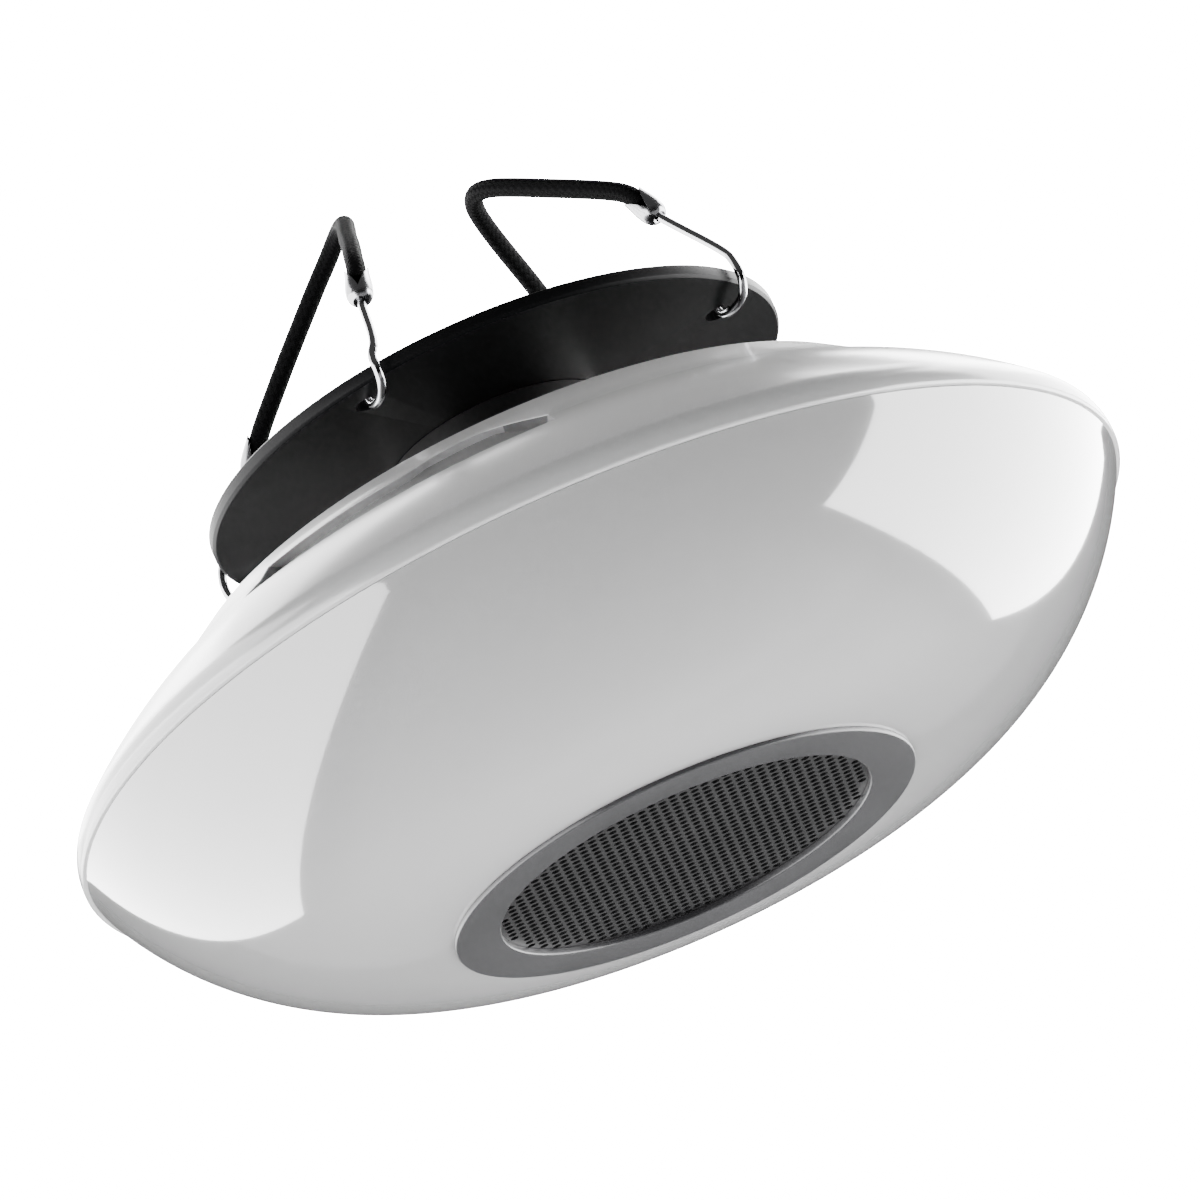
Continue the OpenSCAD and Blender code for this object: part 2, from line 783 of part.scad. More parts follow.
module neck_post() {
    color("#18181a")
        difference() {
            union() {
                translate([0, 0, neck_z]) {
                    cylinder(r = neck_r, h = plate_gap);
                    cylinder(r = neck_flange_r, h = neck_flange_t);
                    translate([0, 0, neck_flange_t])
                        cylinder(r1 = neck_r + 1, r2 = neck_r, h = 1);
                }
            }
            translate([0, 0, neck_z - 1])
                cylinder(r = neck_r - neck_wall, h = plate_gap - 5);
            ring_of(4, neck_screw_ring_r, 45)
                translate([0, 0, neck_z - 1]) cylinder(r = screw_r + fit, h = plate_gap / 2, $fn = 24);
            ring_of(plate_screw_n, plate_screw_ring_r)
                translate([0, 0, plate_z - 7]) cylinder(r = screw_r, h = 8, $fn = 24);
        }
}

module neck_screws() {
    color("silver")
        ring_of(4, neck_screw_ring_r, 45)
            translate([0, 0, neck_z + neck_flange_t])
                mirror([0, 0, 1]) screw(7);
}

module hanging_plate() {
    top_bevel = 0.4;
    color("#101012")
        difference() {
            translate([0, 0, plate_z])
                rotate_extrude($fn = 128)
                    polygon([
                        [0, 0], [plate_r - plate_bevel, 0], [plate_r, plate_bevel],
                        [plate_r, plate_t - top_bevel], [plate_r - top_bevel, plate_t], [0, plate_t]
                    ]);
            for (h = hooks)
                rotate([0, 0, h[0]])
                    translate([hook_ring_r, 0, plate_z - 1]) cylinder(r = hook_hole_r, h = plate_t + 2);
            ring_of(plate_screw_n, plate_screw_ring_r)
                translate([0, 0, plate_z - 1]) cylinder(r = screw_r + fit, h = plate_t + 2, $fn = 24);
        }
}

module plate_screws() {
    color("silver")
        ring_of(plate_screw_n, plate_screw_ring_r)
            translate([0, 0, plate_top_z])
                mirror([0, 0, 1]) screw(plate_t + 5);
}

// ---------- elastic straps ----------

// the point of a hook's own plane, in the lamp's frame
function hook_point(i, out, across, up) =
    let (h = hooks[i])
        [
            hook_ring_r * cos(h[0]) + h[3] * out * cos(h[1]) - across * h[2] * sin(h[1]),
            hook_ring_r * sin(h[0]) + h[3] * out * sin(h[1]) + across * h[2] * cos(h[1]),
            plate_z + up
        ];
function crimp_foot(i) = crimp_feet[i] + [0, 0, plate_z];
function crimp_top(i) = crimp_tops[i] + [0, 0, plate_z];

module hook(i) {
    foot = crimp_foot(i);
    along = unit(crimp_top(i) - foot);
    path = concat(
        [for (p = curl) hook_point(i, p[0], 0, p[1])],
        [hook_point(i, kinks[i][0], kinks[i][1], kinks[i][2])],
        [foot - 0.5 * along, foot + 3 * along]
    );
    color("silver") sweep(cut_corners(cut_corners(path)), wire_r, 8);
}

module crimp(i) {
    foot = crimp_foot(i);
    top = crimp_top(i);
    len = norm(top - foot);
    color("gainsboro")
        aim(foot, top)
            difference() {
                rotate_extrude($fn = 48)
                    polygon([
                        [0, 0], [wire_r + 0.7, 0], [crimp_r - 0.4, 1.2], [crimp_r, 2.6], [crimp_r, 4],
                        [crimp_r - 0.25, 5], [crimp_r - 0.25, 6.2], [crimp_r, 7.2],
                        [crimp_r, len - 0.5], [crimp_r - 0.3, len], [0, len]
                    ]);
                translate([0, 0, -1]) cylinder(r = wire_r, h = 4, $fn = 24);
                translate([0, 0, len - cord_in]) cylinder(r = cord_r, h = cord_in + 1, $fn = 48);
            }
}

// a cord runs straight in and out of its crimps and follows its route between them
module cord(first, last, route) {
    in_first = unit(crimp_top(first) - crimp_foot(first));
    in_last = unit(crimp_top(last) - crimp_foot(last));
    points = concat(
        [crimp_top(first) - cord_in * in_first, crimp_top(first) + in_first],
        lift(route, plate_z),
        [crimp_top(last) + in_last, crimp_top(last) - cord_in * in_last]
    );
    color("#151515") sweep(points, cord_r, 10);
}

module left_front_hook() hook(0);
module left_rear_hook() hook(1);
module right_front_hook() hook(2);
module right_rear_hook() hook(3);
module left_front_crimp() crimp(0);
module left_rear_crimp() crimp(1);
module right_front_crimp() crimp(2);
module right_rear_crimp() crimp(3);
module left_cord() cord(0, 1, left_route);
module right_cord() cord(2, 3, right_route);

speaker_bezel();
speaker_grille();
grille_gasket();
speaker_frame();
speaker_surround();
speaker_cone();
speaker_magnet();
speaker_pot();
pot_screws();
diffuser_dome();
seam_gasket();
upper_shell();
reflector_tray();
tray_screws();
led_board();
led_chips();
battery_holder();
battery_cells();
control_board();
board_parts();
board_screws();
button_board();
tact_switches();
power_button();
light_button();
charge_socket();
socket_cover();
neck_gasket();
neck_post();
neck_screws();
hanging_plate();
plate_screws();
left_front_hook();
left_rear_hook();
right_front_hook();
right_rear_hook();
left_front_crimp();
left_rear_crimp();
right_front_crimp();
right_rear_crimp();
left_cord();
right_cord();
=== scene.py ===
"""Looks of a hanging patio umbrella light with a speaker, dressed over its CAD frame.

Metres, +Z up, in the frame of the CAD model: the origin is on the lamp's axis, in the face of
the speaker bezel, and the front faces -Y. Lengths below are in millimetres times MM.
"""

import math

import bmesh
import bpy
from mathutils import Matrix, Vector


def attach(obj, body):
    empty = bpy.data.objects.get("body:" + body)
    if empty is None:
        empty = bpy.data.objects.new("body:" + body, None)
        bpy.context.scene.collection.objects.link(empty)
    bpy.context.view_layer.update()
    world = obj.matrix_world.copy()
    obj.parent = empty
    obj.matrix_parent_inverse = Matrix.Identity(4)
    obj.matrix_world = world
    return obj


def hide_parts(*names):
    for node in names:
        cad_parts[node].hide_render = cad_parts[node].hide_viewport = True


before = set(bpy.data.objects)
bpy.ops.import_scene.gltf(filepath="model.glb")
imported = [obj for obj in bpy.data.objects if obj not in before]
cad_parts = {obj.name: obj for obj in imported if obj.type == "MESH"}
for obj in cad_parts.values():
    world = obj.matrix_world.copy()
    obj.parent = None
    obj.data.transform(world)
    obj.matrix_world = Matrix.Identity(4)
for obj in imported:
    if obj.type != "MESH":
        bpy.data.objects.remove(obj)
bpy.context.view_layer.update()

MM = 0.001
TURN_STEPS = 240
CREASE_ANGLE = math.radians(28)

# sizes that the CAD model has too
SEAM_R = 125.0
DOME_H = 44.42
WALL = 2.4
BEZEL_R = 55.6
BEZEL_OPEN_R = 44.6
BEZEL_PROUD = 1.1
BEZEL_LIP_T = 1.6
GRILLE_T = 0.8
DOME_ARC_X = BEZEL_R - 1
DOME_ARC_R = ((SEAM_R - DOME_ARC_X) ** 2 + DOME_H**2) / (2 * DOME_H)
DOME_ARC_Z = BEZEL_PROUD + DOME_ARC_R
SEAM_Z = BEZEL_PROUD + DOME_H
LIP_R = SEAM_R + 1.1
LIP_Z = SEAM_Z + 0.3
LIP_ROUND_R = 7.2
ROUND_X = LIP_R - LIP_ROUND_R
ROUND_Z = LIP_Z + 1.6
SHELL_ARC_R = 120.0
SHELL_ARC_X = 39.5
SHELL_ARC_Z = ROUND_Z - math.sqrt((SHELL_ARC_R - LIP_ROUND_R) ** 2 - (ROUND_X - SHELL_ARC_X) ** 2)
COLLAR_R = 85.0
COLLAR_Z = SEAM_Z + 36.3
DECK_Z = COLLAR_Z + 0.6
BAND_SLOPE = math.radians(37.5)
SLOT_FLOOR_Z = SEAM_Z + 23
SLOT_H = 7.5
SLOT_TOP_Z = SLOT_FLOOR_Z + SLOT_H
SLOT_BACK_R = 88.0
SLOT_EDGE_R = 90
SLOT_FROM, SLOT_TO = -37.5, 7.2
SLOT_BULGE_H = 1.5
SLOT_BULGE_AT = -3.5
SLOT_BULGE_R = 80.0
NECK_R = 26.5
NECK_FLANGE_T = 3
PLATE_Z = DECK_Z + 25.8
PLATE_R = 69.5
PLATE_T = 3.3
HOOK_RING_R = 59.0
HOOK_HOLE_R = 3.25
BUTTON_RING_R = COLLAR_R - 9
BUTTON_ANGLES = (82, 98)
BUTTON_R = 5.5
COVER_ANGLE = 125
SOCKET_OPENING = (3.6, 9.2)
WIRE_R = 1.0
CORD_R = 2.2
CORD_IN = 4.0
CRIMP_R = 3.2

# sizes that only the looks have
SLOT_TAPER, SLOT_TAPER_FROM = 3.1, -3.0
SLOT_REACH_Z = SLOT_TOP_Z + SLOT_BULGE_H + 0.1
SEAM_GAP = 0.08
BAND_ROWS = (78.6, 80.2)
DECK_EDGE = [
    (85.9, 81.1), (85.35, 81.55), (84.9, 81.86), (84.35, 82.13), (83.8, 82.31), (83.0, DECK_Z),
]
DECK_ROWS = (80.5, 60.0, 30.0, 7.0)
GRILLE_PITCH = 2.89
GRILLE_HOLE_R = 1.02
SCREW = [
    (0, 2.0), (1.3, 1.98), (2.2, 1.75), (2.7, 1.2), (2.8, 0.6), (2.8, 0), (1.5, 0), (1.5, -5),
    (0, -5),
]
SCREW_BAR = (2.9, 0.62, 1.6)


# ---------- small tools for pieces ----------

def in_scene(name, data):
    """A new object for a mesh, a curve, a lamp or a camera."""
    thing = bpy.data.objects.new(name, data)
    bpy.context.scene.collection.objects.link(thing)
    return thing


def mesh_of(name, bm):
    """The mesh that a bmesh describes; the bmesh is used up."""
    mesh = bpy.data.meshes.new(name)
    bm.to_mesh(mesh)
    bm.free()
    return mesh


def final_mesh(thing):
    """A new mesh of an object with its modifiers made final."""
    graph = bpy.context.evaluated_depsgraph_get()
    return bpy.data.meshes.new_from_object(thing.evaluated_get(graph))


def dress(piece, body, material):
    """Lets a piece ride on a body, with its material."""
    piece.data.materials.append(material)
    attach(piece, body)
    return piece


def add_piece(name, bm, body, material):
    """A bmesh in millimetres becomes a piece in metres that rides on a body."""
    bmesh.ops.scale(bm, vec=(MM, MM, MM), verts=bm.verts)
    mesh = mesh_of(name, bm)
    mesh.shade_smooth()
    mesh.set_sharp_from_angle(angle=CREASE_ANGLE)
    return dress(in_scene(name, mesh), body, material)


def turned(points, closed=True, steps=TURN_STEPS):
    """The body that a half section makes when it is turned once round the axis."""
    bm = bmesh.new()
    verts = [bm.verts.new((r, 0, z)) for r, z in points]
    pairs = list(zip(verts, verts[1:])) + ([(verts[-1], verts[0])] if closed else [])
    edges = [bm.edges.new(pair) for pair in pairs]
    bmesh.ops.spin(
        bm, geom=verts + edges, cent=(0, 0, 0), axis=(0, 0, 1), dvec=(0, 0, 0),
        angle=math.tau, steps=steps, use_merge=True,
    )
    bmesh.ops.remove_doubles(bm, verts=bm.verts, dist=1e-4)
    bmesh.ops.recalc_face_normals(bm, faces=bm.faces)
    return bm


def arc(cx, cz, r, start, end, count):
    """Points of an arc, from one angle to another in degrees."""
    angles = [math.radians(start + (end - start) * i / count) for i in range(count + 1)]
    return [(cx + r * math.cos(a), cz + r * math.sin(a)) for a in angles]


def softened(points, radii, segments):
    """A closed outline with each of its corners rounded, as far as its sides allow."""
    out = []
    for i, here in enumerate(points):
        before = Vector(points[i - 1]) - Vector(here)
        after = Vector(points[(i + 1) % len(points)]) - Vector(here)
        half = before.angle(after) / 2
        size = radii[i]
        if size <= 0 or half > math.radians(88):
            out.append(tuple(here))
            continue
        reach = min(size / math.tan(half), 0.45 * before.length, 0.45 * after.length)
        size = reach * math.tan(half)
        middle = (before.normalized() + after.normalized()).normalized()
        centre = Vector(here) + middle * (size / math.sin(half))
        first = Vector(here) + before.normalized() * reach - centre
        last = Vector(here) + after.normalized() * reach - centre
        for k in range(segments + 1):
            ray = first.slerp(last, k / segments) * size
            out.append(tuple(centre + ray))
    return out


def polar(radius, degrees, z=0.0):
    """A place at a radius and an angle round the axis."""
    angle = math.radians(degrees)
    return Vector((radius * math.cos(angle), radius * math.sin(angle), z))


def at_radius(co, radius, z):
    """A place moved straight out or in to a radius, and to a height."""
    flat = co.xy.normalized() * radius
    return Vector((flat.x, flat.y, z))


def new_verts(grown):
    """The vertices that an extrusion has made."""
    return [g for g in grown["geom"] if isinstance(g, bmesh.types.BMVert)]


def face_z(bm, way):
    """Turns all faces over, unless most of their area looks up (way 1) or down (way -1)."""
    if way * sum(f.normal.z * f.calc_area() for f in bm.faces) < 0:
        bmesh.ops.reverse_faces(bm, faces=bm.faces)


def stamp(bm, mesh, move):
    """Adds a moved copy of a mesh."""
    start = len(bm.verts)
    bm.from_mesh(mesh)
    bm.verts.ensure_lookup_table()
    bmesh.ops.translate(bm, verts=bm.verts[start:], vec=move)


def cut_corners(points, times):
    """A line of points with each of its corners cut into two, over and over."""
    for _ in range(times):
        new = [points[0]]
        for a, b in zip(points, points[1:]):
            new += [a.lerp(b, 0.25), a.lerp(b, 0.75)]
        points = new + [points[-1]]
    return points


def add_tube(name, points, radius, body, material):
    """A tube along points in millimetres, with closed ends and its own UV map, rides on a body."""
    curve = bpy.data.curves.new(name, "CURVE")
    curve.dimensions = "3D"
    curve.bevel_depth = radius * MM
    curve.bevel_resolution = 8
    curve.use_fill_caps = True
    line = curve.splines.new("POLY")
    line.points.add(len(points) - 1)
    for place, p in zip(line.points, points):
        place.co = (*(p * MM), 1)
    holder = in_scene(name + "_line", curve)
    mesh = final_mesh(holder)
    bpy.data.objects.remove(holder)
    bpy.data.curves.remove(curve)
    mesh.name = name
    mesh.shade_smooth()
    return dress(in_scene(name, mesh), body, material)


def add_wall(piece, thickness):
    """Gives a surface a thickness in millimetres, inwards."""
    wall = piece.modifiers.new("wall", "SOLIDIFY")
    wall.thickness = thickness * MM
    wall.offset = -1
    return wall


def drill(bm, radius, depth, centre):
    """Adds an upright round cutter."""
    bmesh.ops.create_cone(
        bm, cap_ends=True, segments=64, radius1=radius, radius2=radius, depth=depth,
        matrix=Matrix.Translation(centre),
    )


def carve(piece, cutter_bm):
    """Cuts the cutter's solids, in millimetres, out of a piece and makes its modifiers final."""
    bmesh.ops.scale(cutter_bm, vec=(MM, MM, MM), verts=cutter_bm.verts)
    mesh = mesh_of("cutter", cutter_bm)
    cutter = in_scene("cutter", mesh)
    cut = piece.modifiers.new("cut", "BOOLEAN")
    cut.operation = "DIFFERENCE"
    cut.solver = "EXACT"
    cut.object = cutter
    result = final_mesh(piece)
    piece.modifiers.clear()
    old = piece.data
    piece.data = result
    result.name = old.name
    bpy.data.meshes.remove(old)
    bpy.data.objects.remove(cutter)
    bpy.data.meshes.remove(mesh)
    result.shade_smooth()
    result.set_sharp_from_angle(angle=CREASE_ANGLE)


# ---------- camera ----------

def place_camera():
    """Long lens below the lamp, rolled so that the lamp leans as it does in the photograph."""
    data = bpy.data.cameras.new("camera")
    data.lens = 240
    data.sensor_width = 36
    data.clip_start, data.clip_end = 0.1, 50
    camera = in_scene("camera", data)
    right = Vector((0.91026, 0.13715, -0.39067))
    up = Vector((0.41404, -0.30153, 0.85887))
    back = Vector((0.0, -0.94354, -0.33126))
    turn = Matrix((right, up, back)).transposed().to_4x4()
    turn.translation = Vector((0.005966, -1.694444, -0.531464))
    camera.matrix_world = turn
    bpy.context.scene.camera = camera


place_camera()


# ---------- materials ----------

def link(tree, source, target):
    tree.links.new(source, target)


def make_grain_group():
    """Fine unevenness: a bump height and a roughness that wander a little over the surface."""
    group = bpy.data.node_groups.new("surface_grain", "ShaderNodeTree")
    face = group.interface
    for name, value in (("Grain Scale", 900.0), ("Rough Low", 0.2), ("Rough High", 0.3)):
        socket = face.new_socket(name=name, in_out="INPUT", socket_type="NodeSocketFloat")
        socket.default_value = value
    face.new_socket(name="Height", in_out="OUTPUT", socket_type="NodeSocketFloat")
    face.new_socket(name="Roughness", in_out="OUTPUT", socket_type="NodeSocketFloat")
    inside = group.nodes
    entry, leave = inside.new("NodeGroupInput"), inside.new("NodeGroupOutput")
    place = inside.new("ShaderNodeTexCoord")
    fine, broad = inside.new("ShaderNodeTexNoise"), inside.new("ShaderNodeTexNoise")
    fine.inputs["Detail"].default_value = 3
    broad.inputs["Scale"].default_value = 28
    broad.inputs["Detail"].default_value = 4
    spread = inside.new("ShaderNodeMapRange")
    spread.inputs["From Min"].default_value = 0.35
    spread.inputs["From Max"].default_value = 0.65
    link(group, place.outputs["Object"], fine.inputs["Vector"])
    link(group, place.outputs["Object"], broad.inputs["Vector"])
    link(group, entry.outputs["Grain Scale"], fine.inputs["Scale"])
    link(group, broad.outputs["Fac"], spread.inputs["Value"])
    link(group, entry.outputs["Rough Low"], spread.inputs["To Min"])
    link(group, entry.outputs["Rough High"], spread.inputs["To Max"])
    link(group, fine.outputs["Fac"], leave.inputs["Height"])
    link(group, spread.outputs["Result"], leave.inputs["Roughness"])
    return group


GRAIN = make_grain_group()


# heights of the grain's bumps, in metres
SMOOTH, USUAL = 0.000003, 0.00001


def make_material(
    name, color, rough, metallic=0.0, coat=0.0, grain=900.0, bump=USUAL, spec=0.5, **extra
):
    """A plain finish with a little grain. rough is (lowest, highest)."""
    made = bpy.data.materials.new(name)
    made.use_nodes = True
    tree = made.node_tree
    shader = tree.nodes["Principled BSDF"]
    shader.inputs["Base Color"].default_value = (*color, 1)
    shader.inputs["Metallic"].default_value = metallic
    shader.inputs["Coat Weight"].default_value = coat
    shader.inputs["Specular IOR Level"].default_value = spec
    for socket, value in extra.items():
        shader.inputs[socket.replace("_", " ").title()].default_value = value
    group = tree.nodes.new("ShaderNodeGroup")
    group.node_tree = GRAIN
    group.inputs["Grain Scale"].default_value = grain
    group.inputs["Rough Low"].default_value = rough[0]
    group.inputs["Rough High"].default_value = rough[1]
    link(tree, group.outputs["Roughness"], shader.inputs["Roughness"])
    if bump:
        relief = tree.nodes.new("ShaderNodeBump")
        relief.inputs["Distance"].default_value = bump
        link(tree, group.outputs["Height"], relief.inputs["Height"])
        link(tree, relief.outputs["Normal"], shader.inputs["Normal"])
    return made


dome_plastic = make_material(
    "milky_dome_plastic", (0.55, 0.55, 0.555), (0.07, 0.1), coat=1.0, grain=700, bump=SMOOTH,
)
shell_plastic = make_material(
    "white_shell_plastic", (0.87, 0.87, 0.875), (0.2, 0.26), coat=0.5, grain=700, bump=SMOOTH,
    coat_roughness=0.16,
)
# darker grey for the slot's walls and ceiling: painted shade that stands in for the shadow inside
# the recess of the white shell plastic
slot_painted_shade = make_material(
    "slot_painted_shade_plastic", (0.34, 0.34, 0.345), (0.4, 0.5), grain=700, bump=SMOOTH,
)
bezel_coat = make_material(
    "grey_bezel_coat", (0.034, 0.034, 0.037), (0.34, 0.42), grain=2200, spec=0.42,
)
grille_coat = make_material(
    "grille_coat", (0.015, 0.015, 0.016), (0.28, 0.34), grain=1500, bump=0, spec=0.24,
)
plate_coat = make_material(
    "black_plate_coat", (0.006, 0.006, 0.0065), (0.34, 0.4), grain=1800, spec=0.05,
)
neck_plastic = make_material("black_neck_plastic", (0.018, 0.018, 0.019), (0.32, 0.4), grain=1500)
chrome_wire = make_material(
    "chrome_wire", (0.32, 0.32, 0.33), (0.1, 0.14), metallic=1.0, grain=500, bump=0,
)
chrome_sleeve = make_material(
    "chrome_sleeve", (0.26, 0.26, 0.27), (0.2, 0.26), metallic=1.0, grain=500,
)
zinc_screw = make_material(
    "zinc_screw", (0.6, 0.6, 0.62), (0.25, 0.4), metallic=1.0, grain=1500, bump=0,
)
button_plastic = make_material("grey_button_plastic", (0.45, 0.45, 0.46), (0.38, 0.46), grain=1200)
cover_rubber = make_material(
    "pale_cover_rubber", (0.55, 0.55, 0.55), (0.6, 0.7), grain=1800, bump=2 * USUAL,
)
cone_paper = make_material(
    "black_cone_paper", (0.012, 0.012, 0.012), (0.6, 0.8), grain=1200, bump=3 * USUAL,
)
black_rubber = make_material("black_foam_rubber", (0.012, 0.012, 0.012), (0.6, 0.75), grain=1500)
inner_white = make_material("inner_white_plastic", (0.78, 0.78, 0.77), (0.45, 0.55), grain=1200)
frame_paint = make_material("speaker_frame_paint", (0.04, 0.04, 0.042), (0.35, 0.5), grain=1500)
magnet_steel = make_material("magnet_steel", (0.5, 0.5, 0.52), (0.3, 0.45), metallic=1.0, bump=0)
board_white = make_material("white_board", (0.75, 0.76, 0.75), (0.3, 0.4), bump=0)
board_green = make_material("green_board", (0.01, 0.12, 0.04), (0.25, 0.35), bump=0)
led_phosphor = make_material("led_phosphor", (0.85, 0.7, 0.25), (0.4, 0.5), bump=0)
cell_wrap = make_material("cell_wrap", (0.04, 0.12, 0.3), (0.2, 0.3), bump=0)
chip_plastic = make_material("chip_plastic", (0.015, 0.015, 0.016), (0.4, 0.5), grain=1500)
seal_rubber = make_material("pale_seal_rubber", (0.4, 0.4, 0.4), (0.6, 0.7), grain=1500)


def make_braid_material():
    """Black braided cover: two sets of yarns that cross over and under, along the cord's UV map,
    with painted shade in the hollows between the yarns.
    """
    made = bpy.data.materials.new("black_braid")
    made.use_nodes = True
    tree = made.node_tree
    nodes = tree.nodes
    shader = nodes["Principled BSDF"]
    shader.inputs["Roughness"].default_value = 0.7
    shader.inputs["Specular IOR Level"].default_value = 0.02
    place = nodes.new("ShaderNodeUVMap")
    split = nodes.new("ShaderNodeSeparateXYZ")
    link(tree, place.outputs["UV"], split.inputs["Vector"])

    def math_node(kind, a, b=None):
        node = nodes.new("ShaderNodeMath")
        node.operation = kind
        for socket, value in zip(node.inputs, (a, b)):
            if isinstance(value, (int, float)):
                socket.default_value = value
            elif value is not None:
                link(tree, value, socket)
        return node.outputs["Value"]

    rows, strands = 62.0, 8.0
    along = math_node("MULTIPLY", split.outputs["X"], rows)
    around = math_node("MULTIPLY", split.outputs["Y"], strands)
    one = math_node("ADD", along, around)
    other = math_node("SUBTRACT", along, around)
    ridge_one = math_node("PINGPONG", one, 0.5)
    ridge_other = math_node("PINGPONG", other, 0.5)
    squares = math_node("ADD", math_node("FLOOR", one), math_node("FLOOR", other))
    parity = math_node("ABSOLUTE", math_node("MODULO", squares, 2.0))
    over = math_node("MULTIPLY", math_node("SUBTRACT", 1.0, parity), ridge_one)
    under = math_node("MULTIPLY", parity, ridge_other)
    height = math_node("POWER", math_node("MULTIPLY", math_node("ADD", over, under), 2.0), 0.5)
    relief = nodes.new("ShaderNodeBump")
    relief.inputs["Distance"].default_value = 0.00012
    link(tree, height, relief.inputs["Height"])
    link(tree, relief.outputs["Normal"], shader.inputs["Normal"])
    # the colour follows the weave's height: the yarns' tops a little lighter and the hollows
    # darker, which is painted shade
    shade = nodes.new("ShaderNodeMix")
    shade.data_type = "RGBA"
    shade.inputs["A"].default_value = (0.002, 0.002, 0.002, 1)
    shade.inputs["B"].default_value = (0.005, 0.005, 0.0055, 1)
    link(tree, height, shade.inputs["Factor"])
    link(tree, shade.outputs["Result"], shader.inputs["Base Color"])
    return made


braid = make_braid_material()


# ---------- elastic straps: cords, hooks and crimps ----------

# angles of the middle of each strap's two holes, and half the angle between those holes
LEFT_MID, RIGHT_MID, HALF_APART = 206.0, 26.0, 41.75
# angle of the hole, direction of the hook's plane, inward side, stretch of the curl
HOOKS = {
    "left_front": (LEFT_MID + HALF_APART, 288, -1, 1.1),
    "left_rear": (LEFT_MID - HALF_APART, 166, 1, 1.0),
    "right_front": (RIGHT_MID - HALF_APART, 298, 1, 1.115),
    "right_rear": (RIGHT_MID + HALF_APART, 68, -1, 1.0),
}
# half section of a crimp's outside, up to its open end
CRIMP_OUTSIDE = [
    (WIRE_R + 0.1, 0.05), (1.7, 0.05), (2.3, 0.45), (2.8, 1.2), (3.08, 2.2), (CRIMP_R - 0.02, 3.4),
    (CRIMP_R - 0.05, 5), (3.0, 6.6), (2.85, 8),
]
WEDGE_ANGLE, WEDGE_FOOT = 42, 2.3
TO_CAMERA = Vector((0, -0.94, -0.33))
# the wire from its hole and out under the rim: way out, height
CURL = [
    (-0.2, PLATE_T + 1.7), (0.1, 2.4), (0.6, 0), (2.2, -1.8), (6, -2.95), (10, -3.4),
    (12.5, -2.9), (14.2, -1.1), (14.8, 1.2), (14.5, 4.2),
]
# where the curl ends: way out from the hole, way inward, height
KINKS = {
    "left_front": (13.7, -2.4, 7.4), "left_rear": (13.1, 0, 7.8),
    "right_front": (13.2, 0, 7.8), "right_rear": (12.9, 0, 7.8),
}
# both ends of each crimp; these, the kinks' heights and the routes are from the plate's underside
CRIMP_FEET = {
    "left_front": (-14.8, -56.2, 22.1), "left_rear": (-55, 12.8, 21.8),
    "right_front": (53.8, -22.1, 24.5), "right_rear": (25.2, 51, 27.6),
}
CRIMP_TOPS = {
    "left_front": (-12.9, -51.6, 31.4), "left_rear": (-49.8, 12.4, 29.6),
    "right_front": (50.2, -19.3, 33.1), "right_rear": (24.2, 43, 35.2),
}
# the elastic from the front crimp to the rear one
ROUTES = {
    "left": [
        (-12.5, -47.5, 36), (-12, -40, 41.5), (-12, -30, 48), (-11.5, -20, 54.5),
        (-11.5, -13, 58.5), (-12.5, -7.5, 60.5), (-15, -3, 60), (-18.5, 0, 57.5), (-23, 2, 54),
        (-30, 5, 48), (-37, 8, 42), (-43, 10.5, 36.5),
    ],
    "right": [
        (46.5, -16.5, 37.5), (41, -12, 42.5), (34, -6.5, 48.5), (27, -1, 54.5), (22, 3, 58.5),
        (18.5, 7, 60.5), (17, 12, 60), (17.5, 17, 57),
        (19, 23, 52.5), (21, 30, 47.5), (23, 37, 42),
    ],
}


def on_plate(point):
    """A place that is measured from the plate's underside, in the lamp's frame."""
    return Vector(point) + Vector((0, 0, PLATE_Z))


def strap_cord(side):
    """The elastic between its two crimps, on the route that the CAD model has."""
    tops = [on_plate(CRIMP_TOPS[f"{side}_{end}"]) for end in ("front", "rear")]
    feet = [on_plate(CRIMP_FEET[f"{side}_{end}"]) for end in ("front", "rear")]
    ways = [(top - foot).normalized() for top, foot in zip(tops, feet)]
    points = [tops[0] - CORD_IN * ways[0], tops[0] + ways[0]]
    points += [on_plate(p) for p in ROUTES[side]]
    points += [tops[1] + ways[1], tops[1] - CORD_IN * ways[1]]
    points = cut_corners(points, 3)
    cord = add_tube(f"{side}_elastic_cord", points, CORD_R, f"{side}_strap", braid)
    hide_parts(f"{side}_cord")


for side in ("left", "right"):
    strap_cord(side)


def strap_of(end):
    """The body that a hook and its crimp ride on."""
    return end.split("_")[0] + "_strap"


def hook_wire(end):
    """Bright wire that comes out of its hole, runs round the plate's rim and up into its crimp."""
    angle, plane, inward, stretch = HOOKS[end]
    hole, out, across = polar(HOOK_RING_R, angle), polar(1, plane), polar(inward, plane + 90)
    foot, top = on_plate(CRIMP_FEET[end]), on_plate(CRIMP_TOPS[end])
    way = (top - foot).normalized()
    points = []
    for s, n, z in [(s, 0, z) for s, z in CURL] + [KINKS[end]]:
        points.append(on_plate(hole + out * stretch * s + across * n + Vector((0, 0, z))))
    points += [foot - 0.5 * way, foot + 3 * way]
    points = cut_corners(points, 4)
    wire = add_tube(f"{end}_wire_hook", points, WIRE_R, strap_of(end), chrome_wire)
    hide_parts(f"{end}_hook")


